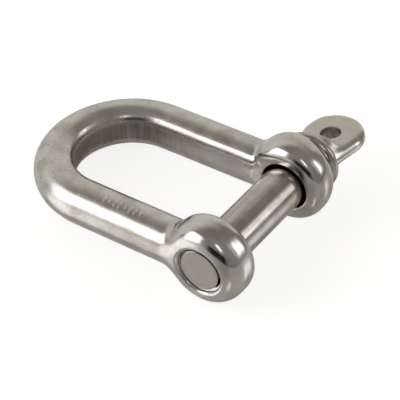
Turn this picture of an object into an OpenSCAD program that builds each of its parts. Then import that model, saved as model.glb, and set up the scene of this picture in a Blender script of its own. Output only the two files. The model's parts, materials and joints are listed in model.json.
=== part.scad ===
// Screw pin D shackle. The body is one forged bar bent to a D, with an eye at each end.
// The pin passes freely through the plain eye and screws into the threaded eye.
//
// Frame, in millimetres: X runs along the pin towards its head, Y runs from the pin to the
// crown, and Z is square to the plane of the body. The origin is on the pin's axis, midway
// between the two eyes.

/* [Bar] */
// Diameter of the round bar
bar_d = 10.3; // [8:0.1:13]
// Depth of the flat along the inner side of the bar
bar_flat = 0.9; // [0.2:0.1:1.4]
// Opening of the jaw, between the inner faces of the eyes
jaw_w = 23.4; // [16:0.2:32]
// Pin's axis to the inner face of the crown
reach = 45.8; // [34:0.2:64]

/* [Eyes] */
// Outside diameter of an eye
eye_d = 19.4; // [17:0.2:24]
// How far the outer face of an eye stands proud of the leg
eye_proud = 0.1; // [0.1:0.1:3]
// Rounding round the inner face of an eye
eye_inner_r = 2.9; // [1:0.1:3.2]
// Rounding round the outer face of an eye
eye_outer_r = 4.2; // [3:0.1:4.4]
// Radius of the hollow that runs from a leg up to its eye
neck_r = 8; // [5:0.5:12]
// Pin's axis to the start of that hollow
neck_y = 12.6; // [11:0.2:16]
// How far the flare of the neck stands out from the leg
neck_flare = 2; // [1:0.2:3]

/* [Pin] */
// Diameter of the plain shank
pin_d = 10; // [8:0.1:10.6]
// Radial clearance of the shank in the plain eye
eye_clear = 0.6; // [0.2:0.05:0.8]
// Chamfer on the tip
tip_chamfer = 0.8; // [0.3:0.1:1.2]
// Depth of the tip below the outer face of the threaded eye
tip_sink = 0.6; // [0:0.1:1]

/* [Thread] */
// Pitch of the thread
pitch = 1.5; // [1:0.25:2]
// How far the crests lie below the surface of the shank
crest_drop = 0.05; // [0.05:0.05:0.3]
// Depth of the thread
thread_depth = 0.81; // [0.5:0.01:1]
// Radial clearance between the two threads
thread_clear = 0.2; // [0.15:0.01:0.3]
// Depth of the countersinks of the threaded eye
countersink = 0.35; // [0.2:0.05:0.8]

/* [Head] */
// Diameter of the collar
collar_d = 14.6; // [13:0.2:18]
// Thickness of the collar
collar_t = 2.5; // [2:0.1:4]
// Gap between the collar and the plain eye when the pin is home
seat_gap = 0.1; // [0.05:0.05:0.3]
// Step from the shank down to the journal that the collar runs on
journal_step = 0.5; // [0.3:0.1:1.5]
// Running clearance of the collar on its journal
journal_clear = 0.03; // [0.02:0.01:0.06]
// Diameter of the waist between the collar and the paddle
waist_d = 10.4; // [9.4:0.2:12]
// Radius of the fillet between the waist and its lip beside the collar
waist_r = 1.2; // [0.5:0.1:2]
// How far the waist runs into the paddle
waist_into = 4.4; // [3:0.1:4.8]
// Diameter of the paddle
paddle_d = 14.9; // [13:0.1:20]
// Width of the paddle beside the collar, where its straight sides end
paddle_root = 11.4; // [9:0.1:13]
// Thickness of the paddle
paddle_t = 3.6; // [3:0.1:5]
// Gap between the collar and the edge of the paddle
paddle_gap = 1.15; // [0.05:0.05:3]
// Diameter of the flats pressed into the two sides of the paddle
coin_d = 12.2; // [9:0.2:14]
// Turn of the paddle when the pin is home, in degrees
paddle_turn = -7; // [-90:1:90]
// Diameter of the lanyard hole
lanyard_d = 4.6; // [3:0.1:6]
// How far the lanyard hole lies from the paddle's middle, towards the collar
lanyard_back = 0.5; // [0:0.1:1]

/* [Hidden] */
$fn = 64;

steel = [0.72, 0.71, 0.69];
pin_steel = [0.66, 0.65, 0.63];

// How far one piece of a solid is sunk into the next, and a cut runs past a face
sink = 0.5;

// Bar's inner flat to its middle line and to its outer side, and the eye's thickness
bar_r = bar_d / 2;
bar_mid = bar_r - bar_flat;
bar_out = bar_mid + bar_r;
eye_t = bar_out + eye_proud;

// Places along the pin
jaw_x = jaw_w / 2;
face_x = jaw_x + eye_t;
collar_x = face_x + seat_gap;
waist_x = collar_x + collar_t;
paddle_mid_x = waist_x + paddle_gap + paddle_d / 2;
tip_x = -face_x + tip_sink;

// Places along the legs
leg_end = reach - jaw_x;
leg_start = eye_d / 4;

// The pin
pin_r = pin_d / 2;
plain_eye_r = pin_r + eye_clear;
crest_r = pin_r - crest_drop;
journal_r = pin_r - journal_step;

// The paddle's rim, and how far the step along its straight sides lies inside their outline
rim_r = paddle_t / 2;
rim_step = rim_r / 6;

// The threads are height fields: rows along X and columns round it
thread_sides = 32;
rows_per_pitch = 8;
row_step = pitch / rows_per_pitch;

// Shares of half a pitch where the crest's flat ends and the root's flat starts
crest_flat = 1 / 8;
root_flat = 3 / 4;

// Height of the thread at x and angle a, from 0 at the root to 1 at the crest. The ridge is
// right-handed, so it moves one pitch along +X with each turn about +X.
function ridge(x, a) =
    let (
        turns = x / pitch - a / 360,
        off_crest = abs(2 * (turns - floor(turns)) - 1)
    )
    min(1, max(0, (root_flat - off_crest) / (root_flat - crest_flat)));

// Radius of a thread whose crests lie at radius r
function thread_r(x, a, r) = r - thread_depth * (1 - ridge(x, a));

// Radius of the pin's thread, with the chamfer of its tip. Inside the shank it is the root.
function pin_thread_r(x, a) =
    x > -jaw_x - row_step
        ? crest_r - thread_depth
        : min(thread_r(x, a, crest_r), crest_r - tip_chamfer + x - tip_x);

// Radius of the threaded hole, with a countersink at each face of the eye
function hole_thread_r(x, a) =
    let (inside = min(x + face_x, -jaw_x - x))
    max(thread_r(x, a, crest_r + thread_clear), crest_r + thread_clear + countersink - inside);

// Closed rod along X from x0 to about x1, whose radius is radius(x, angle)
module rod(x0, x1, radius) {
    rows = ceil((x1 - x0) / row_step);
    last = rows * thread_sides;
    points = [
        for (i = [0 : rows], j = [0 : thread_sides - 1])
            let (
                x = x0 + i * row_step,
                a = 360 * j / thread_sides,
                r = radius(x, a)
            )
            [x, r * cos(a), r * sin(a)]
    ];
    ends = [[x0, 0, 0], [x0 + rows * row_step, 0, 0]];
    start_mid = len(points);
    sides = [
        for (i = [0 : rows - 1], j = [0 : thread_sides - 1])
            let (
                k = (j + 1) % thread_sides,
                p = i * thread_sides,
                q = p + thread_sides
            )
            each [[p + j, q + j, q + k], [p + j, q + k, p + k]]
    ];
    caps = [
        for (j = [0 : thread_sides - 1])
            let (k = (j + 1) % thread_sides)
            each [[start_mid, j, k], [start_mid + 1, last + k, last + j]]
    ];
    polyhedron(concat(points, ends), concat(sides, caps));
}

// Turns a flat profile about the pin's axis: its x becomes X and its y the radius
module about_pin() {
    rotate([90, 0, 90])
        rotate_extrude()
            mirror([1, -1])
                children();
}

// Section of the bar: x is the distance outwards from the inner flat, and y the height
module bar_section() {
    intersection() {
        translate([bar_mid, 0])
            circle(r = bar_r);
        translate([0, -bar_r])
            square([bar_d, bar_d]);
    }
}

module crown() {
    translate([0, leg_end, 0])
        rotate_extrude(angle = 180)
            translate([jaw_x, 0])
                bar_section();
}

module leg() {
    translate([jaw_x, leg_end, 0])
        rotate([90, 0, 0])
            linear_extrude(leg_end - leg_start)
                bar_section();
}

// Flare of the bar where it meets the eye, kept a little inside the two faces of the bar
module neck() {
    intersection() {
        translate([jaw_x + bar_mid, neck_y, 0])
            rotate([90, 0, 0])
                rotate_extrude()
                    difference() {
                        square([bar_r + neck_flare, neck_y - leg_start]);
                        translate([bar_r + neck_r, 0])
                            circle(r = neck_r);
                    }
        translate([jaw_x, 0, -eye_d / 2])
            cube([bar_out - bar_flat, neck_y, eye_d]);
    }
}

// Section of an eye: x is the distance outwards from its inner face, and y the radius
module eye_section() {
    flat_r = eye_d / 2 - eye_outer_r;
    intersection() {
        square([eye_t, eye_d / 2]);
        union() {
            square([eye_t, flat_r]);
            square([eye_t - eye_outer_r, eye_d / 2 - eye_inner_r]);
            translate([eye_inner_r, 0])
                square([eye_t - eye_inner_r - eye_outer_r, eye_d / 2]);
            translate([eye_inner_r, eye_d / 2 - eye_inner_r])
                circle(r = eye_inner_r);
            translate([eye_t - eye_outer_r, flat_r])
                circle(r = eye_outer_r);
        }
    }
}

module eye() {
    translate([jaw_x, 0, 0])
        about_pin()
            eye_section();
}

module shackle_body() {
    color(steel)
        difference() {
            union() {
                crown();
                for (side = [0, 1])
                    mirror([side, 0, 0]) {
                        leg();
                        neck();
                        eye();
                    }
            }
            translate([jaw_x - sink, 0, 0])
                rotate([0, 90, 0])
                    cylinder(r = plain_eye_r, h = eye_t + 2 * sink);
            rod(-face_x - sink, -jaw_x + sink, function (x, a) hole_thread_r(x, a));
        }
}

// Round shoulder of the pin, modelled as a ring that the journal turns in
module pin_collar() {
    edge_r = collar_t / 2;
    hole_r = journal_r + journal_clear;
    color(pin_steel)
        translate([collar_x, 0, 0])
            about_pin() {
                translate([0, hole_r])
                    square([collar_t, collar_d / 2 - edge_r - hole_r]);
                translate([edge_r, collar_d / 2 - edge_r])
                    circle(r = edge_r);
            }
}

// Waist between the journal and the paddle, with a fillet up to a lip that keeps the collar on
// its journal
module waist() {
    neck_r = waist_d / 2;
    end_x = paddle_mid_x - paddle_d / 2 + waist_into;
    translate([waist_x + journal_clear, 0, 0])
        about_pin() {
            square([end_x - waist_x - journal_clear, neck_r]);
            difference() {
                square([waist_r, neck_r + waist_r]);
                translate([waist_r, neck_r + waist_r])
                    circle(r = waist_r);
            }
        }
}

// Disc with a half-round rim
module disc() {
    rotate_extrude() {
        translate([0, -rim_r])
            square([paddle_d / 2 - rim_r, paddle_t]);
        translate([paddle_d / 2 - rim_r, 0])
            circle(r = rim_r);
    }
}

// Plate between the disc and the waist's lip. Its sides lie inset from straight lines that
// touch the disc and narrow to the paddle's root.
module plate(inset, thickness) {
    h = paddle_mid_x - waist_x - journal_clear;
    r = paddle_d / 2 - inset;
    root_r = paddle_root / 2 - inset;
    slant = asin((r - root_r) / h);
    half = [[-h, root_r / cos(slant)], [-r * sin(slant), r * cos(slant)]];
    translate([0, 0, -thickness / 2])
        linear_extrude(thickness)
            for (side = [0, 1])
                mirror([0, side])
                    polygon([[0, 0], [-h, 0], each half, [0, r * cos(slant)]]);
}

// Flat drop-shaped plate whose rim is half-round round the disc and stepped along the sides
module paddle() {
    disc();
    plate(rim_r, paddle_t);
    plate(rim_step, rim_r);
}

module head() {
    rotate([paddle_turn, 0, 0])
        difference() {
            union() {
                waist();
                translate([paddle_mid_x, 0, 0])
                    paddle();
            }
            translate([paddle_mid_x, 0, 0])
                for (side = [-1, 1])
                    translate([0, 0, side * (paddle_t + waist_d) / 2])
                        cylinder(d = coin_d, h = waist_d, center = true);
            translate([paddle_mid_x - lanyard_back, 0, 0])
                cylinder(d = lanyard_d, h = paddle_t + 2 * sink, center = true);
        }
}

module screw_pin() {
    shank_end = collar_x - journal_clear;
    color(pin_steel) {
        translate([-jaw_x, 0, 0])
            rotate([0, 90, 0])
                cylinder(r = pin_r, h = shank_end + jaw_x);
        translate([shank_end - sink, 0, 0])
            rotate([0, 90, 0])
                cylinder(r = journal_r, h = collar_t + 2 * journal_clear + 2 * sink);
        rod(tip_x, -jaw_x + sink, function (x, a) pin_thread_r(x, a));
        head();
    }
}

shackle_body();
pin_collar();
screw_pin();
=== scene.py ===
"""Looks of a screw pin D shackle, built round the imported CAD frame.

Every length in this file is in millimetres until a mesh is written, which turns it into metres.
X runs along the pin towards its head, Y from the pin to the crown, and Z is square to the body.
"""

from __future__ import annotations

import json
import logging
import math
from dataclasses import dataclass, replace
from enum import Enum
from typing import Callable

import bpy
import numpy as np
from mathutils import Matrix, Vector


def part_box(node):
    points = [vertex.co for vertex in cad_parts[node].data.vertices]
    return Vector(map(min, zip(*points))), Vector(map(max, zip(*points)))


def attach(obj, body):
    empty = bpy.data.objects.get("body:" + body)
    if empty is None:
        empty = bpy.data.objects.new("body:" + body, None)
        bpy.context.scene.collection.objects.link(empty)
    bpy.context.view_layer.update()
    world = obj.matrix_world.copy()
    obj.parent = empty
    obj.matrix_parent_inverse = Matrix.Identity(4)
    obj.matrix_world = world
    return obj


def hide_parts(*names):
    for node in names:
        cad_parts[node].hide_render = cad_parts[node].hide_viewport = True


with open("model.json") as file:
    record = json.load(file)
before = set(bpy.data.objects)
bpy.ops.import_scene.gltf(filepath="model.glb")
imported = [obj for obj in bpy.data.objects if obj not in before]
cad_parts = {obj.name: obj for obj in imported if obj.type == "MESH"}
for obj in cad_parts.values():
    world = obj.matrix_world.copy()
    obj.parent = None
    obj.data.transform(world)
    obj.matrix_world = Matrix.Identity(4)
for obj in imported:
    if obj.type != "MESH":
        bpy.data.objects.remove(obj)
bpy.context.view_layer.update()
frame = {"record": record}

LOG = logging.getLogger("shackle")
MM = 0.001
TINY = 1e-9
STEPS_PER_PITCH = 16

Array = np.ndarray
Band = tuple[float, float]
Triple = tuple[float, float, float]
Colour = tuple[float, float, float, float]
Distance = Callable[[Array], Array]

WHITE: Colour = (1.0, 1.0, 1.0, 1.0)
AXES = np.eye(3, dtype=int)
CORNERS = np.array([[i, j, k] for i in (0, 1) for j in (0, 1) for k in (0, 1)])


class Body(str, Enum):
    """The CAD bodies that pieces ride on."""

    SHACKLE = "shackle"
    COLLAR = "collar"
    PIN = "pin"


class Slot(str, Enum):
    """The record's material slots."""

    BODY = "body_steel"
    PIN = "pin_steel"


# ---------------------------------------------------------------- sizes from the frame


def mount(name: str) -> dict:
    """The record's mount of that name."""
    return next(m for m in frame["record"]["mounts"] if m["name"] == name)


def node_box(name: str) -> tuple[Array, Array]:
    """Lowest and highest corner of a CAD node, in millimetres."""
    low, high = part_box(name)
    return np.array(low) / MM, np.array(high) / MM


@dataclass(frozen=True)
class Sizes:
    """Sizes that the pieces share, in millimetres, taken from the CAD frame.

    The journal that the collar runs on doesn't show in the frame, so its radius and its
    clearance are given here.
    """

    face_x: float
    eye_r: float
    reach: float
    bar_t: float
    jaw_x: float
    pin_r: float
    tip_x: float
    collar_lo: float
    collar_hi: float
    collar_r: float
    paddle_x: float
    paddle_t: float
    paddle_end: float
    paddle_turn: float
    lanyard_r: float
    journal_r: float = 4.5
    journal_clear: float = 0.03

    @classmethod
    def from_frame(cls) -> Sizes:
        """Reads the boxes of the nodes and the mounts' sizes."""
        body_lo, body_hi = node_box("shackle_body")
        pin_lo, pin_hi = node_box("screw_pin")
        collar_lo, collar_hi = node_box("pin_collar")
        jaw_pin, hole, crown = mount("jaw_pin"), mount("lanyard_hole"), mount("bow_crown")
        reach = crown["pos_m"][1] / MM
        return cls(
            face_x=float(body_hi[0]),
            eye_r=float(body_hi[2]),
            reach=reach,
            bar_t=float(body_hi[1]) - reach,
            jaw_x=jaw_pin["dims"]["length_mm"] + cls.journal_clear - float(collar_lo[0]),
            pin_r=jaw_pin["dims"]["r_mm"],
            tip_x=float(pin_lo[0]),
            collar_lo=float(collar_lo[0]),
            collar_hi=float(collar_hi[0]),
            collar_r=float(collar_hi[2]),
            paddle_x=hole["pos_m"][0] / MM,
            paddle_t=hole["dims"]["length_mm"],
            paddle_end=float(pin_hi[0]),
            paddle_turn=math.atan2(-hole["axis"][1], hole["axis"][2]),
            lanyard_r=hole["dims"]["r_mm"],
        )


# ---------------------------------------------------------------- distance fields


def length(*parts: Array) -> Array:
    """Length of the vector with these components."""
    return np.sqrt(sum(p * p for p in parts))


def ease(low: float, high: float, x: Array) -> Array:
    """0 below low, 1 above high, and the cubic 3t^2 - 2t^3 between. low may be above high."""
    t = np.clip((x - low) / (high - low), 0.0, 1.0)
    return t * t * (3.0 - 2.0 * t)


def join(a: Array, b: Array, blend: Array | float) -> Array:
    """Union of two fields with a hollow fillet.

    The lesser distance, less a quarter of h^2 * blend, where h falls from 1 to 0 as the two
    distances draw apart by blend.
    """
    h = np.maximum(blend - np.abs(a - b), 0.0) / blend
    return np.minimum(a, b) - h * h * blend / 4.0


def cut(a: Array, b: Array, edge: Array | float, power: float = 2.0) -> Array:
    """Intersection of two fields whose common edge is rounded off.

    Outside both shapes set back by edge, the distance is measured from their corner, less
    edge, so that the edge is an arc. A power above 2 makes it a superellipse, which flows
    into its two faces without a sudden change of curvature.
    """
    u, v = a + edge, b + edge
    corner = (np.maximum(u, 0.0) ** power + np.maximum(v, 0.0) ** power) ** (1 / power)
    return np.minimum(np.maximum(u, v), 0.0) + corner - edge


def slope(field: Distance, points: Array, step: float = 0.01) -> Array:
    """Gradient of a field by central differences over one step each way."""
    axes = np.eye(3) * step
    return np.stack([field(points + a) - field(points - a) for a in axes], -1) / (2 * step)


@dataclass(frozen=True)
class Net:
    """Turns a distance field into a closed quad mesh on a lattice of cubic cells.

    A settling step divides by the square of the field's slope, or by least_steepness where the
    field is flatter than that.
    """

    low: Array
    high: Array
    cell: float
    settle_steps: int = 4
    least_steepness: float = 0.1

    def values(self, field: Distance) -> Array:
        """The field at each lattice point."""
        count = np.ceil((self.high - self.low) / self.cell).astype(int) + 1
        axes = [self.low[i] + self.cell * np.arange(count[i]) for i in range(3)]
        return field(np.stack(np.meshgrid(*axes, indexing="ij"), -1))

    def middles(self, value: Array, cells: Array) -> Array:
        """The mean of the places where the edges of each cell change sign."""
        total = np.zeros((len(cells), 3))
        hits = np.zeros(len(cells))
        for corner in CORNERS:
            for step in AXES[corner == 0]:
                a = value[tuple((cells + corner).T)]
                b = value[tuple((cells + corner + step).T)]
                crossed = (a < 0) != (b < 0)
                share = np.where(crossed, a / np.where(crossed, a - b, 1.0), 0.0)
                place = cells + corner + share[:, None] * step
                total += np.where(crossed[:, None], place, 0.0)
                hits += crossed
        return self.low + self.cell * total / hits[:, None]

    def quads(self, inside: Array, number: Array) -> Array:
        """A quad for each lattice edge that changes sign, from the four cells round it.

        Args:
            inside: Whether each lattice point is inside the surface.
            number: The number of each cell's point, by the cell's place on the lattice.

        Returns:
            The corners of the quads, in the order that faces outwards.
        """
        quads = []
        for axis in range(3):
            u, v = AXES[(axis + 1) % 3], AXES[(axis + 2) % 3]
            first = np.take(inside, range(0, number.shape[axis]), axis)
            second = np.take(inside, range(1, number.shape[axis] + 1), axis)
            edges = np.argwhere(first != second)
            ring = np.stack([number[tuple((edges + s).T)] for s in (-u - v, -v, 0 * u, -u)], 1)
            starts_inside = first[tuple(edges.T)]
            quads.append(np.where(starts_inside[:, None], ring, ring[:, ::-1]))
        return np.concatenate(quads)

    def settle(self, field: Distance, points: Array) -> Array:
        """Slides points along the gradient, at most one cell a step, to where the field is zero."""
        for _ in range(self.settle_steps):
            push = slope(field, points)
            steepness = np.maximum((push * push).sum(-1), self.least_steepness)
            move = push * (field(points) / steepness)[:, None]
            size = length(*move.T)[:, None]
            points = points - move * np.minimum(1.0, self.cell / np.maximum(size, TINY))
        return points

    def mesh(self, field: Distance) -> tuple[Array, Array, Array]:
        """The surface where the field is zero, with one point in each cell that it crosses.

        Args:
            field: The signed distance, negative inside.

        Returns:
            Points (n, 3), quads (m, 4) and unit normals (n, 3).
        """
        value = self.values(field)
        inside = value < 0
        nx, ny, nz = np.array(value.shape) - 1
        filled = sum(inside[i:i + nx, j:j + ny, k:k + nz].astype(np.int8) for i, j, k in CORNERS)
        cells = np.argwhere((filled > 0) & (filled < len(CORNERS)))
        number = np.full(filled.shape, -1, np.int64)
        number[tuple(cells.T)] = np.arange(len(cells))
        points = self.settle(field, self.middles(value, cells))
        normals = slope(field, points)
        normals /= np.maximum(length(*normals.T)[:, None], TINY)
        return points, self.quads(inside, number), normals


# ---------------------------------------------------------------- meshes


def write_mesh(name: str, points: Array, faces: Array, normals: Array | None = None) -> bpy.types.Object:
    """Makes a smooth-shaded object at the origin from points in millimetres.

    Args:
        name: The piece's name.
        points: Points (n, 3).
        faces: Corners of each face, all with the same number of corners.
        normals: Unit normals of the points, or None to have them averaged.

    Returns:
        The new object, linked to the scene.
    """
    mesh = bpy.data.meshes.new(name)
    corners = faces.shape[1]
    mesh.vertices.add(len(points))
    mesh.vertices.foreach_set("co", (points * MM).astype(np.float32).ravel())
    mesh.loops.add(faces.size)
    mesh.loops.foreach_set("vertex_index", faces.astype(np.int32).ravel())
    mesh.polygons.add(len(faces))
    mesh.polygons.foreach_set("loop_start", np.arange(0, faces.size, corners, dtype=np.int32))
    mesh.polygons.foreach_set("loop_total", np.full(len(faces), corners, np.int32))
    mesh.polygons.foreach_set("use_smooth", np.ones(len(faces), bool))
    mesh.update(calc_edges=True)
    mesh.validate()
    if normals is not None:
        mesh.normals_split_custom_set_from_vertices(normals.astype(np.float32).tolist())
    obj = bpy.data.objects.new(name, mesh)
    bpy.context.scene.collection.objects.link(obj)
    return obj


def round_grid(x: Array, radius: Array, shut: bool) -> tuple[Array, Array]:
    """Surface round the X axis from rows of radii.

    Point (row, column) is x[row] along the axis and radius[row, column] out from it, at an
    angle that grows evenly by a full turn over the columns. Two triangles join four neighbours.

    Args:
        x: Place of each row along the axis.
        radius: Radius of each point, (rows, columns).
        shut: Whether a fan round one more point shuts each end.

    Returns:
        Points and outward triangles.
    """
    rows, sides = radius.shape
    angle = np.linspace(0, 2 * np.pi, sides, endpoint=False)
    along = np.broadcast_to(x[:, None], radius.shape)
    ring = np.stack([along, radius * np.cos(angle), radius * np.sin(angle)], -1).reshape(-1, 3)
    i, j = np.meshgrid(np.arange(rows - 1), np.arange(sides), indexing="ij")
    k = (j + 1) % sides
    a, b, c, d = i * sides + j, i * sides + k, (i + 1) * sides + k, (i + 1) * sides + j
    walls = np.concatenate([np.stack([a, b, c], -1), np.stack([a, c, d], -1)]).reshape(-1, 3)
    if not shut:
        return ring, walls
    ends = np.array([[x[0], 0, 0], [x[-1], 0, 0]])
    j = np.arange(sides)
    k = (j + 1) % sides
    mid, last = rows * sides, (rows - 1) * sides
    start = np.stack([np.full(sides, mid), k, j], -1)
    finish = np.stack([np.full(sides, mid + 1), last + j, last + k], -1)
    return np.concatenate([ring, ends]), np.concatenate([walls, start, finish])


def arc(centre: tuple[float, float], radius: float, start: float, end: float, count: int) -> Array:
    """Points on a round stretch of a profile, with its angles in degrees."""
    angle = np.radians(np.linspace(start, end, count))
    return np.stack([centre[0] + radius * np.cos(angle), centre[1] + radius * np.sin(angle)], -1)


# ---------------------------------------------------------------- shader expressions


@dataclass(frozen=True)
class Noise:
    """Smooth noise around 0.5 whose lumps are about 1 / scale apart.

    Patches of it rise from nothing to full strength as the noise passes through the band.
    """

    scale: float
    detail: float = 2.0
    rough: float = 0.5
    band: Band = (0.0, 1.0)


class Wire:
    """A node's output that Python arithmetic can use. Each operator adds the Math node for it."""

    def __init__(self, shader: Shader, socket: bpy.types.NodeSocket) -> None:
        """Keeps the output and the node tree that it belongs to."""
        self.shader = shader
        self.socket = socket

    def maths(self, operation: str, *values: Wire | float) -> Wire:
        """Output of a Math node on these values."""
        return self.shader.add("ShaderNodeMath", {"operation": operation}, *values)

    def __add__(self, other: Wire | float) -> Wire:
        """Sum."""
        return self.maths("ADD", self, other)

    def __sub__(self, other: Wire | float) -> Wire:
        """Difference."""
        return self.maths("SUBTRACT", self, other)

    def __rsub__(self, other: float) -> Wire:
        """Difference from a number."""
        return self.maths("SUBTRACT", other, self)

    def __mul__(self, other: Wire | float) -> Wire:
        """Product."""
        return self.maths("MULTIPLY", self, other)

    def __truediv__(self, other: Wire | float) -> Wire:
        """Quotient."""
        return self.maths("DIVIDE", self, other)

    __radd__ = __add__
    __rmul__ = __mul__

    def root(self) -> Wire:
        """Square root."""
        return self.maths("SQRT", self)

    def size(self) -> Wire:
        """Absolute value."""
        return self.maths("ABSOLUTE", self)

    def least(self, other: Wire | float) -> Wire:
        """The lesser of two values."""
        return self.maths("MINIMUM", self, other)

    def most(self, other: Wire | float) -> Wire:
        """The greater of two values."""
        return self.maths("MAXIMUM", self, other)

    def sine(self) -> Wire:
        """Sine of an angle in radians."""
        return self.maths("SINE", self)

    def ramp(self, low: float, high: float) -> Wire:
        """Eases from 0 at low to 1 at high. low may be above high."""
        rising = {"interpolation_type": "SMOOTHSTEP", "clamp": True}
        if low < high:
            return self.shader.add("ShaderNodeMapRange", rising, self, low, high, 0.0, 1.0)
        return self.shader.add("ShaderNodeMapRange", rising, self, high, low, 1.0, 0.0)

    def between(self, low: float, high: float) -> Wire:
        """Takes 0 to low and 1 to high, in a straight line."""
        return self * (high - low) + low


class Shader:
    """A material's or a world's node tree, with one method that makes every node."""

    def __init__(self, tree: bpy.types.NodeTree) -> None:
        """Empties the tree."""
        self.tree = tree
        tree.nodes.clear()

    def add(self, kind: str, settings: dict | None = None, *values: object, output: int | str = 0,
            **named: object) -> Wire:
        """Adds a node.

        Args:
            kind: The node's type.
            settings: Properties, set before its sockets.
            values: Values or links of its first sockets, in order. None leaves one alone.
            output: The output that the result stands for.
            named: Values or links by the socket's name, with _ for a space.

        Returns:
            The chosen output.
        """
        node = self.tree.nodes.new(kind)
        for key, value in (settings or {}).items():
            setattr(node, key, value)
        places = list(enumerate(values)) + [(k.replace("_", " "), v) for k, v in named.items()]
        for place, value in places:
            if value is None:
                continue
            if isinstance(value, Wire):
                self.tree.links.new(value.socket, node.inputs[place])
            else:
                node.inputs[place].default_value = value
        return Wire(self, node.outputs[output] if node.outputs else None)

    def place(self) -> tuple[Wire, Wire, Wire, Wire]:
        """Object coordinates in millimetres: the vector, and its x, y and z."""
        metres = self.add("ShaderNodeTexCoord", output="Object")
        vector = self.add("ShaderNodeVectorMath", {"operation": "SCALE"}, metres, Scale=1 / MM)
        return vector, *self.parts(vector)

    def parts(self, vector: Wire) -> tuple[Wire, Wire, Wire]:
        """The x, y and z of a vector."""
        node = self.add("ShaderNodeSeparateXYZ", None, vector).socket.node
        return tuple(Wire(self, node.outputs[i]) for i in range(3))

    def stretched(self, vector: Wire, by: Triple) -> Wire:
        """A vector with each component multiplied by its own number."""
        return self.add("ShaderNodeVectorMath", {"operation": "MULTIPLY"}, vector, by)

    def vector(self, x: Wire | float, y: Wire | float, z: Wire | float) -> Wire:
        """A vector from its components."""
        return self.add("ShaderNodeCombineXYZ", None, x, y, z)

    def noise(self, vector: Wire, noise: Noise) -> Wire:
        """The noise at a place."""
        return self.add("ShaderNodeTexNoise", {"noise_dimensions": "3D"}, Vector=vector,
                        Scale=noise.scale, Detail=noise.detail, Roughness=noise.rough)

    def patches(self, vector: Wire, noise: Noise) -> Wire:
        """The strength, from 0 to 1, of the noise's patches at a place."""
        return self.noise(vector, noise).ramp(*noise.band)

    def mix(self, factor: Wire | float, low: object, high: object) -> Wire:
        """Blends two colours."""
        node = self.add("ShaderNodeMix", {"data_type": "RGBA"}, factor).socket.node
        for place, value in ((6, low), (7, high)):
            if isinstance(value, Wire):
                self.tree.links.new(value.socket, node.inputs[place])
            else:
                node.inputs[place].default_value = value
        return Wire(self, node.outputs[2])


@dataclass(frozen=True)
class Steel:
    """Polished stainless steel: what every face of the shackle has in common.

    It has a warm bloom, smeary gloss, orange peel and polishing scratches. grain says how fine
    the scratches are along X, Y and Z. Depths are in millimetres.
    """

    name: str
    bright: Colour = (0.68, 0.67, 0.635, 1.0)
    warm: Colour = (0.54, 0.50, 0.455, 1.0)
    dull: Colour = (0.46, 0.45, 0.43, 1.0)
    dark: Colour = (0.20, 0.175, 0.155, 1.0)
    brown: Colour = (0.40, 0.36, 0.325, 1.0)
    matt: Colour = (0.69, 0.66, 0.61, 1.0)
    highlight: Colour = (0.88, 0.87, 0.84, 1.0)
    roughness: float = 0.13
    bloom: Noise = Noise(0.2, 3.0, band=(0.38, 0.68))
    smears: Noise = Noise(0.35, 4.0, 0.6, band=(0.4, 0.75))
    smear_rough: float = 0.08
    peel: Noise = Noise(0.65)
    peel_depth: float = 0.004
    scratches: Noise = Noise(1.0, 4.0, 0.62, band=(0.5, 0.8))
    scratch_rough: float = 0.1
    scratch_depth: float = 0.0012
    grain: Triple = (1.0, 1.0, 1.0)

    def start(self) -> tuple[bpy.types.Material, Shader]:
        """A new material and its empty node tree."""
        material = bpy.data.materials.new(self.name)
        material.use_nodes = True
        return material, Shader(material.node_tree)

    def polish(self, s: Shader, vector: Wire) -> tuple[Wire, Wire, Wire]:
        """The finish that all the steel shares.

        Args:
            s: The material's tree.
            vector: The place in millimetres.

        Returns:
            The colour, the roughness and the height in millimetres.
        """
        colour = s.mix(s.patches(vector, self.bloom), self.bright, self.warm)
        scratches = s.noise(s.stretched(vector, self.grain), self.scratches)
        smeared = s.patches(vector, self.smears) * self.smear_rough
        scratched = scratches.ramp(*self.scratches.band) * self.scratch_rough
        height = s.noise(vector, self.peel) * self.peel_depth + scratches * self.scratch_depth
        return colour, smeared + scratched + self.roughness, height

    def close(self, s: Shader, colour: Wire, roughness: Wire, height: Wire) -> None:
        """Ends the tree in a metal whose normal comes from a height in millimetres."""
        bump = s.add("ShaderNodeBump", None, Strength=1.0, Distance=MM, Height=height)
        metal = s.add("ShaderNodeBsdfPrincipled", None, Base_Color=colour, Metallic=1.0,
                      Roughness=roughness, Normal=bump)
        s.add("ShaderNodeOutputMaterial", None, metal)


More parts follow.
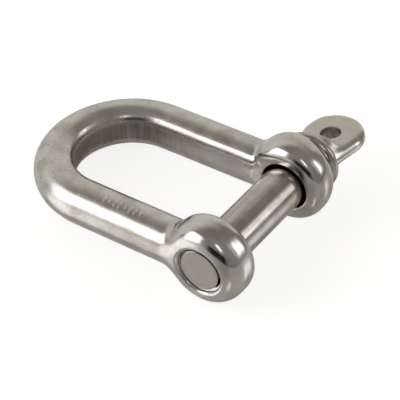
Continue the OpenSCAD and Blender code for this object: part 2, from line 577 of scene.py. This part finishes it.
@dataclass(frozen=True)
class BodySteel(Steel):
    """The forged body: a ground flat along the inside of the bar, and pits towards the crown.

    The flat's dark colour is partly the tone of its ground marks and partly painted shade,
    which grows towards the crown.

    flat_edge is across the flat's rim. flat_start, flat_fade and pit_fade are places along Y,
    and bar_start is a distance from the pin's axis. flat_dark and pit_share are the strengths
    at the two ends of their fades.
    """

    jaw_x: float = 0.0
    leg_end: float = 0.0
    grain: Triple = (3.0, 0.35, 3.0)
    flat_edge: Band = (0.3, 0.06)
    flat_start: Band = (8.0, 12.0)
    flat_fade: Band = (22.0, 38.0)
    flat_dark: Band = (0.3, 0.9)
    flat_rough: Band = (0.08, 0.28)
    flat_depth: float = 0.01
    ground: Noise = Noise(1.6, 4.0, 0.65, band=(0.25, 0.8))
    ground_drag: tuple[float, float] = (0.02, 0.04)
    bar_start: Band = (9.5, 13.5)
    bar_rough: float = 0.09
    pits: Noise = Noise(1.5, 5.0, 0.8, band=(0.56, 0.66))
    pitted: Noise = Noise(0.13, band=(0.4, 0.55))
    pit_fade: Band = (22.0, 40.0)
    pit_share: Band = (0.3, 1.0)
    pit_dark: float = 0.7
    pit_rough: float = 0.1
    pit_depth: float = 0.006

    def make(self) -> bpy.types.Material:
        """Builds the material.

        The way out from the D's middle is the length of (x, y past the legs' end). Where it
        is the jaw's half width, the face is the ground flat. Its marks are noise dragged
        across the bar, so they change along the flat and hardly at all across it.
        """
        material, s = self.start()
        vector, x, y, z = s.place()
        colour, roughness, height = self.polish(s, vector)
        past = (y - self.leg_end).most(0.0)
        out = (x * x + past * past).root()
        flat = (out - self.jaw_x).ramp(*self.flat_edge) * y.ramp(*self.flat_start)
        round_crown = s.add("ShaderNodeMath", {"operation": "ARCTAN2"}, past, x.size()) * self.jaw_x
        drag_x, drag_z = self.ground_drag
        along = s.vector(y.least(self.leg_end) + round_crown, x * drag_x, z * drag_z)
        marks = s.noise(along, self.ground)
        ground = s.mix(marks.ramp(*self.ground.band), self.dark, self.brown)
        # The flat takes the ground marks' dark tone, plus painted shade that grows towards the crown.
        colour = s.mix(flat * y.ramp(*self.flat_fade).between(*self.flat_dark), colour, ground)

        bar = (y * y + z * z).root().ramp(*self.bar_start)
        pits = s.patches(vector, self.pits) * s.patches(vector, self.pitted) * bar
        pits = pits * y.ramp(*self.pit_fade).between(*self.pit_share)
        colour = s.mix(pits * self.pit_dark, colour, self.dark)
        roughness = roughness + flat * marks.between(*self.flat_rough)
        roughness = roughness + bar * self.bar_rough + pits * self.pit_rough
        height = height + flat * marks * self.flat_depth - pits * self.pit_depth
        self.close(s, colour, roughness, height)
        return material


@dataclass(frozen=True)
class PinSteel(Steel):
    """The turned pin: rings round its shank and thread, drawn streaks, and a matt sawn tip.

    thread_edge and tip_edge are distances along X from the thread's end and from the tip.
    tip_rings is in radians a millimetre.
    """

    bright: Colour = (0.60, 0.58, 0.545, 1.0)
    warm: Colour = (0.50, 0.46, 0.415, 1.0)
    tip_x: float = 0.0
    thread_end: float = 0.0
    grain: Triple = (0.5, 3.0, 3.0)
    rings: Noise = Noise(5.0, 3.0, 0.6)
    ring_drag: float = 0.03
    ring_rough: float = 0.06
    ring_depth: float = 0.002
    streaks: Noise = Noise(1.1, 4.0, 0.6, band=(0.4, 0.7))
    streak_drag: float = 0.06
    streak_dark: float = 0.35
    thread_edge: float = 0.4
    thread_dull: float = 0.6
    thread_rough: float = 0.14
    tip_edge: Band = (0.12, 0.04)
    tip_rings: float = 9.0
    tip_ring_depth: float = 0.003
    tip_rough: Band = (0.3, 0.5)
    grit: Noise = Noise(5.0, 3.0, 0.7, band=(0.45, 0.7))
    grit_depth: float = 0.02

    def make(self) -> bpy.types.Material:
        """Builds the material. Rings change along X and streaks across it, and hardly otherwise."""
        material, s = self.start()
        vector, x, y, z = s.place()
        colour, roughness, height = self.polish(s, vector)
        rings = s.noise(s.vector(x, y * self.ring_drag, z * self.ring_drag), self.rings)
        streaks = s.patches(s.vector(x * self.streak_drag, y, z), self.streaks)
        colour = s.mix(streaks * self.streak_dark, colour, self.dark)
        thread = x.ramp(self.thread_end + self.thread_edge, self.thread_end)
        far, near = self.tip_edge
        tip = x.ramp(self.tip_x + far, self.tip_x + near)
        out = (y * y + z * z).root()
        turned = (out * self.tip_rings).sine() * 0.5 + 0.5
        grit = s.noise(vector, self.grit)
        colour = s.mix(thread * self.thread_dull, colour, self.dull)
        colour = s.mix(tip, colour, s.mix(grit.ramp(*self.grit.band), self.matt, self.warm))
        roughness = roughness + rings * self.ring_rough + thread * self.thread_rough
        roughness = roughness + tip * grit.between(*self.tip_rough)
        sawn = turned * self.tip_ring_depth + grit * self.grit_depth
        height = height + rings * self.ring_depth + tip * sawn
        self.close(s, colour, roughness, height)
        return material


@dataclass(frozen=True)
class HeadSteel(Steel):
    """The pin's head: a polished rim and waist, with pressed flats and a drilled hole.

    The hole's wall is dark, partly from its drilled grit and partly from painted shade.

    flat_edge is a depth below the flats, coin_edge a distance out from the pressed coin's
    radius, and bore_edge a distance out from the hole's.
    """

    paddle_x: float = 0.0
    paddle_t: float = 0.0
    turn: float = 0.0
    coin_r: float = 0.0
    lanyard_r: float = 0.0
    grain: Triple = (1.6, 1.6, 1.6)
    flat_edge: Band = (0.16, 0.04)
    flat_cover: float = 0.9
    flat_rough: Band = (0.2, 0.4)
    coin_edge: Band = (1.0, 0.3)
    bore_edge: Band = (0.3, 0.08)
    bore_cover: float = 0.85
    bore_rough: float = 0.25
    bore_band: Band = (0.42, 0.6)
    grit: Noise = Noise(3.5, 4.0, 0.7, band=(0.5, 0.72))
    grit_depth: float = 0.02

    def make(self) -> bpy.types.Material:
        """Builds the material. The flats are where the turned height is half the paddle's."""
        material, s = self.start()
        vector, x, y, z = s.place()
        colour, roughness, height = self.polish(s, vector)
        up = z * math.cos(self.turn) - y * math.sin(self.turn)
        side = y * math.cos(self.turn) + z * math.sin(self.turn)
        out = ((x - self.paddle_x) * (x - self.paddle_x) + side * side).root()
        flat = up.size().ramp(*(self.paddle_t / 2 - depth for depth in self.flat_edge))
        flat = flat * out.ramp(*(self.coin_r + past for past in self.coin_edge))
        bore = out.ramp(*(self.lanyard_r + past for past in self.bore_edge))
        grit = s.noise(vector, self.grit)
        satin = s.mix(grit.ramp(*self.grit.band), self.matt, self.warm)
        drilled = s.mix(grit.ramp(*self.bore_band), self.dark, self.dull)
        colour = s.mix(flat * self.flat_cover, colour, satin)
        # The hole's wall takes a dark grit colour that is partly painted shade.
        colour = s.mix(bore * self.bore_cover, colour, drilled)
        roughness = roughness + flat * grit.between(*self.flat_rough) + bore * self.bore_rough
        height = height + (flat + bore) * grit * self.grit_depth
        self.close(s, colour, roughness, height)
        return material


# ---------------------------------------------------------------- the pieces


def dress(obj: bpy.types.Object, material: bpy.types.Material, body: Body) -> bpy.types.Object:
    """Gives a piece its finish and the body that it rides on."""
    obj.data.materials.append(material)
    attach(obj, body.value)
    LOG.info("%s: %d faces, rides on %s", obj.name, len(obj.data.polygons), body.value)
    return obj


@dataclass(frozen=True)
class Thread:
    """The pin's right-handed thread, as radii that depend on the place along X and the angle."""

    pin_r: float
    pitch: float = 1.5
    drop: float = 0.05
    depth: float = 0.81
    crest_flat: float = 1 / 8
    root_flat: float = 3 / 4

    @property
    def crest_r(self) -> float:
        """Radius of the crests."""
        return self.pin_r - self.drop

    def ridge(self, x: Array, angle: Array) -> Array:
        """Height from 0 at the root to 1 at the crest.

        The distance from the crest's middle, in half pitches, passes through a straight ramp
        between the end of the crest's flat and the start of the root's.
        """
        turns = x / self.pitch - angle / (2 * np.pi)
        off = np.abs(2 * (turns - np.floor(turns)) - 1)
        return np.clip((self.root_flat - off) / (self.root_flat - self.crest_flat), 0.0, 1.0)

    def radius(self, x: Array, angle: Array, grow: float = 0.0) -> Array:
        """Radius of the thread's surface, moved outwards by grow."""
        return self.crest_r + grow - self.depth * (1 - self.ridge(x, angle))


@dataclass(frozen=True)
class ForgedBody:
    """The forged body: a D of round bar with an eye at each end, and its embossed marks.

    bar_start is a share of the eye's radius. right_outer_r is the right eye's outer rounding
    beside its leg and away from it, and slim_y is where it changes along Y. The fillet grows
    from fillet_x past the jaw's face to fillet_x past the bar's middle line. The outer faces
    trim the bar as far as face_end. A wave is three rates in radians a millimetre and a phase.
    """

    sizes: Sizes
    thread: Thread
    finish: BodySteel
    mark_finish: BodySteel
    bar_r: float = 5.15
    bar_edge: float = 1.1
    bar_start: float = 0.25
    inner_r: float = 3.6
    left_outer_r: float = 4.9
    right_outer_r: tuple[float, float] = (3.9, 5.9)
    slim_y: Band = (3.0, -6.0)
    rim_power: float = 2.3
    rim_tall: float = 1.012
    rim_back: float = 0.3
    crease: float = 0.6
    fillet: float = 1.8
    fillet_x: tuple[float, float] = (1.5, 1.0)
    face_end: float = 16.0
    face_edge: float = 0.3
    eye_clear: float = 0.6
    rim_edge: float = 0.45
    dish_edge: float = 0.9
    bore_gap: float = 0.12
    thread_grow: float = 0.2
    sleeve_wall: float = 0.9
    sleeve_sides: int = 96
    wave_height: float = 0.03
    wave_start: Band = (9.0, 13.0)
    waves: tuple[tuple[float, float, float, float], ...] = (
        (0.55, 0.3, 0.0, 0.0), (0.0, 0.42, -0.5, 1.0), (0.35, 0.0, 0.6, 2.0),
    )
    cell: float = 0.3
    mark_count: int = 8
    mark_lean: float = -12.0
    mark_y: float = 17.2
    mark_step: float = 1.35
    mark_long: float = 1.15
    mark_short: float = 0.7
    mark_half: float = 0.27
    mark_rise: float = 0.32

    @property
    def leg_end(self) -> float:
        """Where the legs end and the crown's half circle starts."""
        return self.sizes.reach - self.sizes.jaw_x

    @property
    def bar_mid(self) -> float:
        """Distance of the bar's middle line from the plane midway between the legs."""
        return self.sizes.jaw_x + self.sizes.bar_t - self.bar_r

    @property
    def sleeve_crest_r(self) -> float:
        """Radius of the threaded eye's thread where it is widest."""
        return self.thread.crest_r + self.thread_grow

    def bar(self, p: Array, out: Array) -> Array:
        """Round bar along the D, out from its middle, with the flat ground on its inner side."""
        s = self.sizes
        bar = length(out - self.bar_mid, p[..., 2]) - self.bar_r
        return np.maximum(cut(bar, s.jaw_x - out, self.bar_edge), s.eye_r * self.bar_start - p[..., 1])

    def eyes(self, p: Array, out: Array) -> Array:
        """A disc with softly rounded rims at each end of the D.

        The discs are a little taller than they are long and lie a little towards the crown,
        and the right one slims down away from its leg.
        """
        s = self.sizes
        x, y, z = p[..., 0], p[..., 1], p[..., 2]
        rim = length((y - self.rim_back) * self.rim_tall, z / self.rim_tall) - s.eye_r
        full, slim = self.right_outer_r
        right = full + (slim - full) * ease(*self.slim_y, y)
        eye = cut(rim, np.abs(x) - s.face_x, np.where(x < 0, self.left_outer_r, right), self.rim_power)
        return cut(eye, s.jaw_x - out, self.inner_r, self.rim_power)

    def distance(self, p: Array) -> Array:
        """Signed distance of the body.

        The plane of the jaw, which follows the D, cuts the inner flat of the bar and the eyes.
        Their union has a crease on the inner side and a hollow fillet on the outer side. The
        two bores come off last, the threaded one with a dished rim. Slow sine waves leave the
        polish a little uneven.
        """
        s = self.sizes
        x, y, z = p[..., 0], p[..., 1], p[..., 2]
        ax = np.abs(x)
        out = length(x, np.maximum(y - self.leg_end, 0.0))
        from_axis = length(y, z)
        start, end = self.fillet_x
        outward = ease(s.jaw_x + start, self.bar_mid + end, ax)
        blend = self.crease + (self.fillet - self.crease) * outward
        whole = join(self.bar(p, out), self.eyes(p, out), blend)
        whole = np.maximum(whole, s.jaw_x - out)
        whole = np.where(y < self.face_end, cut(whole, ax - s.face_x, self.face_edge), whole)
        bore = np.where(x > 0, s.pin_r + self.eye_clear, self.sleeve_crest_r + self.bore_gap)
        dished = x < -(s.jaw_x + s.face_x) / 2
        whole = cut(whole, bore - from_axis, np.where(dished, self.dish_edge, self.rim_edge))
        wave = sum(np.sin(a * x + b * y + c * z + phase) for a, b, c, phase in self.waves)
        return whole + self.wave_height / len(self.waves) * wave * ease(*self.wave_start, from_axis)

    def forging(self) -> bpy.types.Object:
        """The body's mesh."""
        s = self.sizes
        low = np.array([-s.face_x, -s.eye_r, -s.eye_r]) - 2 * self.cell
        high = np.array([s.face_x, s.reach + s.bar_t, s.eye_r]) + 2 * self.cell
        return write_mesh("forged_body", *Net(low, high, self.cell).mesh(self.distance))

    def threaded_sleeve(self) -> bpy.types.Object:
        """Wall of the threaded eye between its two rims.

        The thread's radii are on the inside, and a plain cylinder on the outside is buried in
        the forging.
        """
        s, step = self.sizes, self.thread.pitch / STEPS_PER_PITCH
        x = np.arange(-s.face_x + self.dish_edge, -s.jaw_x - self.rim_edge, step)
        angle = np.linspace(0, 2 * np.pi, self.sleeve_sides, endpoint=False)
        inner = self.thread.radius(x[:, None], angle[None, :], self.thread_grow)
        wall = np.full((1, self.sleeve_sides), self.sleeve_crest_r + self.sleeve_wall)
        radius = np.concatenate([wall, inner, wall, wall])
        along = np.concatenate([x[:1], x, x[-1:], x[:1]])
        points, faces = round_grid(along, radius, shut=False)
        return write_mesh("eye_thread", points, faces[:, ::-1])

    def marks(self) -> bpy.types.Object:
        """Row of plain raised bars on top of the left leg, each a flattened ellipsoid.

        Every third bar is a short one.
        """
        rings, sides = 8, 16
        u = np.linspace(0, np.pi, rings + 1)
        v = np.linspace(0, 2 * np.pi, sides, endpoint=False)
        ball = np.stack([
            np.outer(np.sin(u), np.cos(v)),
            np.outer(np.sin(u), np.sin(v)),
            np.outer(np.cos(u), np.ones_like(v)),
        ], -1).reshape(-1, 3)
        i, j = np.meshgrid(np.arange(rings), np.arange(sides), indexing="ij")
        k, i = (j + 1) % sides, i * sides
        quads = np.stack([i + j, i + sides + j, i + sides + k, i + k], -1).reshape(-1, 4)
        lean = math.radians(self.mark_lean)
        turn = np.array(Matrix.Rotation(lean, 3, "Y")).T
        x = self.bar_r * math.sin(lean) - self.bar_mid
        points, faces = [], []
        for n in range(self.mark_count):
            size = np.array([self.mark_long if n % 3 else self.mark_short, self.mark_half, self.mark_rise])
            foot = np.array([x, self.mark_y + self.mark_step * n, self.bar_r * math.cos(lean)])
            points.append(ball * size @ turn + foot)
            faces.append(quads + n * len(ball))
        return write_mesh("size_marks", np.concatenate(points), np.concatenate(faces))

    def build(self) -> None:
        """Makes the body's pieces and dresses them."""
        steel = self.finish.make()
        body = dress(self.forging(), steel, Body.SHACKLE)
        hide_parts("shackle_body")
        dress(self.threaded_sleeve(), steel, Body.SHACKLE)
        dress(self.marks(), self.mark_finish.make(), Body.SHACKLE)


@dataclass(frozen=True)
class ScrewPin:
    """The pin: a turned shank with its thread and journal, and the forged head.

    The tip's rows are radii on its flat. The thread's rows start and stop a little inside the
    tip and the jaw's face. The groove is the relief before the plain shank, and hold is how
    far from its ends the shank's plain rows start. The journal ends in a cone inside the head.
    The coin is the round flat that a press leaves on each side. The net's room is how far it
    goes past the head's ends, and its half width and height.
    """

    sizes: Sizes
    thread: Thread
    shank_finish: PinSteel
    head_finish: HeadSteel
    sides: int = 128
    chamfer: float = 0.3
    tip_rows: tuple[float, ...] = (1.5, 3.0)
    tip_edge: tuple[float, float] = (0.15, 0.04)
    thread_start: float = 0.08
    thread_stop: float = 0.55
    groove: tuple[float, float] = (0.5, 0.03)
    bevel: float = 0.3
    end_bevel: float = 0.1
    hold: float = 2.0
    corner: float = 0.02
    journal_past: float = 1.0
    journal_cone: float = 0.5
    cell: float = 0.16
    disc_r: float = 7.45
    root_r: float = 5.7
    side_rim: float = 2.1
    end_rim: float = 0.9
    rim_turn: float = 5.0
    foot_edge: float = 0.3
    neck_r: float = 5.2
    neck_edge: float = 0.15
    neck_stop: float = 3.0
    hollow_r: float = 1.2
    coin_r: float = 6.1
    coin_sink: float = 0.6
    coin_edge: float = 0.5
    coin_rim: float = 0.6
    fillet: float = 1.1
    burr: float = 0.05
    burr_count: int = 15
    burr_start: float = 0.8
    hole_edge: float = 0.25
    room: Triple = (0.5, 9.0, 7.0)

    @property
    def head_x(self) -> float:
        """Where the head starts, just past the collar."""
        return self.sizes.collar_hi + self.sizes.journal_clear

    @property
    def disc_x(self) -> float:
        """The middle of the paddle's disc."""
        return self.sizes.paddle_end - self.disc_r

    def shank(self) -> bpy.types.Object:
        """The turned shank.

        Rows run from the tip's middle out over its chamfer, along the thread, whose radius
        depends on the angle too, along the plain shank with a small step and in to the journal.
        """
        s = self.sizes
        angle = np.linspace(0, 2 * np.pi, self.sides, endpoint=False)
        tip_r = self.thread.crest_r - self.chamfer
        inset, edge = self.tip_edge
        tip = np.array([*([0, r] for r in self.tip_rows), [0, tip_r - inset], [edge, tip_r - edge]])
        tip = tip + [s.tip_x, 0]
        x = np.arange(s.tip_x + self.thread_start, -s.jaw_x - self.thread_stop,
                      self.thread.pitch / STEPS_PER_PITCH)
        cone = tip_r + (x - s.tip_x)
        thread = np.minimum(self.thread.radius(x[:, None], angle[None, :]), cone[:, None])
        root = self.thread.crest_r - self.thread.depth
        start, end = -s.jaw_x, s.collar_lo - s.journal_clear
        past = s.collar_hi + self.journal_past
        plain = np.array([
            *([start - back, root] for back in self.groove),
            [start, s.pin_r - self.bevel],
            *([at, s.pin_r] for at in (start + self.bevel, start + self.bevel + self.end_bevel)),
            *([at, s.pin_r] for at in (start + self.hold, 0, end - self.hold, end - self.end_bevel)),
            [end, s.pin_r - self.end_bevel],
            [end, s.journal_r + self.corner],
            [end + self.corner, s.journal_r],
            [past, s.journal_r],
            [past + self.journal_cone, s.journal_r - self.journal_cone],
        ])
        along = np.concatenate([tip[:, 0], x, plain[:, 0]])
        radius = np.concatenate([
            np.repeat(tip[:, 1:], self.sides, 1), thread, np.repeat(plain[:, 1:], self.sides, 1),
        ])
        return write_mesh("pin_shank", *round_grid(along, radius, shut=True))

    def paddle(self, x: Array, ay: Array, az: Array) -> Array:
        """The flat paddle, with x from its disc's middle and ay and az without their signs.

        Its outline is a disc with two straight sides that narrow towards the collar. Its rim
        is an elliptic arc, wide along the sides and narrow at the end.
        """
        half = self.sizes.paddle_t / 2
        slant = math.asin((self.disc_r - self.root_r) / (self.disc_x - self.head_x))
        side = ay * math.cos(slant) - x * math.sin(slant)
        beside = x * math.cos(slant) + ay * math.sin(slant) < 0
        outline = np.where(beside, side, length(x, ay)) - self.disc_r
        rim = self.side_rim + (self.end_rim - self.side_rim) * ease(0.0, self.rim_turn, x)
        rounded = (length(np.maximum(outline / rim + 1, 0.0), az / half) - 1) * half
        return np.where(outline < -rim, az - half, rounded)

    def neck(self, past: Array, x: Array, ay: Array, az: Array) -> Array:
        """Waist between the collar and the paddle, with past its distance past the collar.

        It is a cylinder with a fillet up to the collar, and a round press on each side
        flattens it where the paddle starts.
        """
        t = np.clip(past, 0.0, self.hollow_r)
        hollow = self.hollow_r - np.sqrt(self.hollow_r ** 2 - (self.hollow_r - t) ** 2)
        neck = cut(length(ay, az) - self.neck_r - hollow, -past, self.neck_edge)
        neck = np.maximum(neck, x + self.neck_stop)
        floor = self.sizes.paddle_t / 2 - self.coin_sink
        press = cut(floor - az, length(x, ay) - self.coin_r, self.coin_edge)
        return cut(neck, -press, self.coin_rim)

    def distance(self, p: Array) -> Array:
        """Signed distance of the head, with a burred hole drilled through its turned paddle."""
        s = self.sizes
        turn = s.paddle_turn
        x, past = p[..., 0] - self.disc_x, p[..., 0] - self.head_x
        y = p[..., 1] * math.cos(turn) + p[..., 2] * math.sin(turn)
        z = p[..., 2] * math.cos(turn) - p[..., 1] * math.sin(turn)
        ay, az = np.abs(y), np.abs(z)
        paddle = cut(self.paddle(x, ay, az), -past, self.foot_edge)
        whole = join(paddle, self.neck(past, x, ay, az), self.fillet)
        off = p[..., 0] - s.paddle_x
        burr = self.burr * np.sin(self.burr_count * np.arctan2(y, off))
        burr = burr * ease(self.burr_start, s.paddle_t / 2, az)
        return cut(whole, s.lanyard_r + burr - length(off, y), self.hole_edge)

    def head(self) -> bpy.types.Object:
        """The head's mesh."""
        s, (ends, wide, tall) = self.sizes, self.room
        low = np.array([s.collar_hi - ends, -wide, -tall])
        high = np.array([s.paddle_end + ends, wide, tall])
        return write_mesh("pin_head", *Net(low, high, self.cell).mesh(self.distance))

    def build(self) -> None:
        """Makes the pin's pieces and dresses them."""
        shank = dress(self.shank(), self.shank_finish.make(), Body.PIN)
        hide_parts("screw_pin")
        dress(self.head(), self.head_finish.make(), Body.PIN)


@dataclass(frozen=True)
class Collar:
    """The round shoulder of the pin: a ring with a half-round rim."""

    sizes: Sizes
    finish: PinSteel
    sides: int = 128
    rim_points: int = 25

    def build(self) -> None:
        """Turns the ring's section about the pin's axis and dresses it."""
        s = self.sizes
        edge, bore_r = (s.collar_hi - s.collar_lo) / 2, s.journal_r + s.journal_clear
        rim = arc((s.collar_lo + edge, s.collar_r - edge), edge, 180, 0, self.rim_points)
        start, end = [[s.collar_lo, bore_r]], [[s.collar_hi, bore_r]]
        section = np.concatenate([start, rim, end, start])
        radius = np.repeat(section[:, 1:], self.sides, 1)
        collar = write_mesh("collar_ring", *round_grid(section[:, 0], radius, shut=False))
        dress(collar, self.finish.make(), Body.COLLAR)
        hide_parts("pin_collar")


# ---------------------------------------------------------------- studio


@dataclass(frozen=True)
class Softbox:
    """A bright or dark rectangle of the surroundings, given by the direction of its middle.

    Azimuth is measured from +Y towards +X, and elevation from the XY plane, in degrees. Half
    angles give the rectangle's width and height, and tilt turns it anticlockwise. least_ahead
    keeps the division by the part along the middle safe, and fade shuts the box off behind.
    """

    azimuth: float
    elevation: float
    wide: float
    high: float
    light: float
    blur: float = 0.05
    tilt: float = 0.0
    least_ahead: float = 0.02
    fade: float = 0.05

    def axes(self) -> tuple[Vector, Vector, Vector]:
        """Direction of the middle, and of the box's width and height."""
        a, e, t = (math.radians(v) for v in (self.azimuth, self.elevation, self.tilt))
        forward = Vector((math.sin(a) * math.cos(e), math.cos(a) * math.cos(e), math.sin(e)))
        side = Vector((math.cos(a), -math.sin(a), 0.0))
        up = side.cross(forward)
        return forward, side * math.cos(t) + up * math.sin(t), up * math.cos(t) - side * math.sin(t)

    def over(self, s: Shader, direction: Wire, light: Wire) -> Wire:
        """Lays the box over the light that comes from a direction.

        The box covers the directions whose offsets along its width and height, divided by the
        part along its middle, are within the tangents of its half angles.
        """
        dot = {"operation": "DOT_PRODUCT"}
        forward, side, high = (
            s.add("ShaderNodeVectorMath", dot, direction, tuple(axis), output="Value")
            for axis in self.axes()
        )
        ahead = forward.most(self.least_ahead)
        inside = forward.ramp(0.0, self.fade)
        for offset, angle in ((side, self.wide), (high, self.high)):
            half = math.tan(math.radians(angle))
            inside = inside * (offset / ahead).size().ramp(half + self.blur, half - self.blur)
        return light * (1.0 - inside) + inside * self.light


@dataclass(frozen=True)
class Studio:
    """Camera, pale floor and soft surroundings.

    The camera looks at a point that lies aim to the right of the pin's middle and below it.
    In the ceiling band of height and the neutral band of light, the tint gives way.
    """

    sizes: Sizes
    azimuth: float = 53.28
    elevation: float = 39.91
    roll: float = 2.78
    distance: float = 320.1
    aim: tuple[float, float] = (-11.62, -3.46)
    focal: float = 134.36
    sensor: float = 36.0
    nearest: float = 10.0
    room: float = 0.225
    horizon: Band = (-0.1, 0.2)
    sky_gain: float = 0.03
    ceiling: Band = (0.35, 0.8)
    neutral: Band = (0.7, 1.4)
    floor_half: float = 1500.0
    floor_gap: float = 0.15
    floor_grey: Colour = (0.5, 0.5, 0.5, 1.0)
    floor_white: float = 0.8
    floor_glow: float = 0.1
    floor_shine: Colour = (0.4, 0.4, 0.4, 1.0)
    floor_rough: float = 0.16
    tint: Colour = (0.985, 0.975, 0.91, 1.0)
    ceiling_tint: Colour = (1.0, 0.925, 0.85, 1.0)
    boxes: tuple[Softbox, ...] = (
        Softbox(azimuth=40, elevation=25, wide=60, high=30, light=0.66, blur=0.35),
        Softbox(azimuth=-62, elevation=-3, wide=14, high=12, light=0.6, blur=0.12),
        Softbox(azimuth=-46, elevation=27, wide=17, high=20, light=2.6, blur=0.1, tilt=-14),
        Softbox(azimuth=145, elevation=22, wide=9, high=14, light=2.2, blur=0.12),
        Softbox(azimuth=160, elevation=30, wide=9, high=16, light=0.5, blur=0.08),
        Softbox(azimuth=-128, elevation=44, wide=5, high=10, light=1.8, blur=0.04, tilt=-25),
        Softbox(azimuth=-108, elevation=10, wide=24, high=17, light=0.012, blur=0.09, tilt=10),
    )

    def camera_axes(self) -> tuple[Vector, Vector, Vector]:
        """The camera's right, up and backward directions."""
        a, e, r = (math.radians(v) for v in (self.azimuth, self.elevation, self.roll))
        back = Vector((-math.sin(a) * math.cos(e), -math.cos(a) * math.cos(e), math.sin(e)))
        right = Vector((math.cos(a), -math.sin(a), 0.0))
        up = back.cross(right)
        return right * math.cos(r) - up * math.sin(r), up * math.cos(r) + right * math.sin(r), back

    def camera(self) -> None:
        """Places the camera on its line of view, at its distance from the point it looks at."""
        right, up, back = self.camera_axes()
        target = right * self.aim[0] - up * self.aim[1]
        data = bpy.data.cameras.new("camera")
        data.lens = self.focal
        data.sensor_width = self.sensor
        data.clip_start = self.nearest * MM
        camera = bpy.data.objects.new("camera", data)
        bpy.context.scene.collection.objects.link(camera)
        turn = Matrix((right, up, back)).transposed().to_4x4()
        camera.matrix_world = Matrix.Translation((target + back * self.distance) * MM) @ turn
        bpy.context.scene.camera = camera

    def floor(self, body: ForgedBody) -> None:
        """Pale floor, a gap below the rims of both eyes and the underside of the crown."""
        s = self.sizes
        far = body.leg_end + body.bar_mid
        lean = math.asin((s.eye_r - body.bar_r) / far)
        normal = Vector((0.0, -math.sin(lean), math.cos(lean)))
        across, along = Vector((1.0, 0.0, 0.0)), Vector((0.0, math.cos(lean), math.sin(lean)))
        corners = [(across * x + along * y) * self.floor_half
                   for x, y in ((-1, -1), (1, -1), (1, 1), (-1, 1))]
        points = np.array([c - normal * (s.eye_r + self.floor_gap) for c in corners])
        floor = write_mesh("floor", points, np.array([[0, 1, 2, 3]]))
        material = bpy.data.materials.new("pale_floor")
        material.use_nodes = True
        shader = Shader(material.node_tree)
        seen = shader.add("ShaderNodeLightPath", output="Is Camera Ray")
        matt = shader.add("ShaderNodeBsdfDiffuse", None, self.floor_grey)
        white = shader.add("ShaderNodeEmission", None, WHITE, self.floor_white)
        glow = shader.add("ShaderNodeEmission", None, self.tint, self.floor_glow)
        satin = shader.add("ShaderNodeBsdfGlossy", None, self.floor_shine, self.floor_rough)
        plain = shader.add("ShaderNodeAddShader", None, matt, white)
        mirrored = shader.add("ShaderNodeAddShader", None, matt, glow)
        mirrored = shader.add("ShaderNodeAddShader", None, mirrored, satin)
        both = shader.add("ShaderNodeMixShader", None, seen, mirrored, plain)
        shader.add("ShaderNodeOutputMaterial", None, both)
        floor.data.materials.append(material)

    def surroundings(self) -> None:
        """World that looks plain white and shows the steel a dim room with softboxes.

        The room is tinted and the softboxes are neutral, so the colour follows the light.
        """
        world = bpy.data.worlds.new("studio")
        world.use_nodes = True
        bpy.context.scene.world = world
        s = Shader(world.node_tree)
        direction = s.add("ShaderNodeTexCoord", output="Generated")
        _, _, up = s.parts(direction)
        light = up.ramp(*self.horizon) * self.sky_gain + self.room
        for box in self.boxes:
            light = box.over(s, direction, light)
        seen = s.add("ShaderNodeLightPath", output="Is Camera Ray")
        colour = s.mix(up.ramp(*self.ceiling), self.tint, self.ceiling_tint)
        colour = s.mix(light.ramp(*self.neutral), colour, WHITE)
        colour = s.mix(seen, colour, WHITE)
        glow = s.add("ShaderNodeBackground", None, colour, light * (1.0 - seen) + seen)
        s.add("ShaderNodeOutputWorld", None, glow)

    def build(self, body: ForgedBody) -> None:
        """Sets the stage and the way that brightness is shown."""
        self.camera()
        self.floor(body)
        self.surroundings()
        view = bpy.context.scene.view_settings
        view.view_transform = "Standard"
        view.look = "None"


def main() -> None:
    """Builds the studio and the pieces in order."""
    logging.basicConfig(level=logging.INFO, format="%(name)s: %(message)s")
    sizes = Sizes.from_frame()
    thread = Thread(sizes.pin_r)
    forged = BodySteel("forged_steel", jaw_x=sizes.jaw_x, leg_end=sizes.reach - sizes.jaw_x)
    # The raised marks are rougher and take a brighter colour, a painted highlight.
    raised = replace(forged, name="raised_steel", bright=forged.highlight, warm=forged.matt,
                     roughness=2 * forged.roughness)
    body = ForgedBody(sizes, thread, forged, raised)
    turned = PinSteel("turned_steel", tip_x=sizes.tip_x, thread_end=-sizes.jaw_x)
    head = HeadSteel("head_steel", paddle_x=sizes.paddle_x, paddle_t=sizes.paddle_t,
                     turn=sizes.paddle_turn, coin_r=ScrewPin.coin_r, lanyard_r=sizes.lanyard_r)
    pin = ScrewPin(sizes, thread, turned, head)
    collar = Collar(sizes, replace(turned, name="collar_steel"))
    Studio(sizes).build(body)
    body.build()
    pin.build()
    collar.build()


if __name__ == "__main__":
    main()
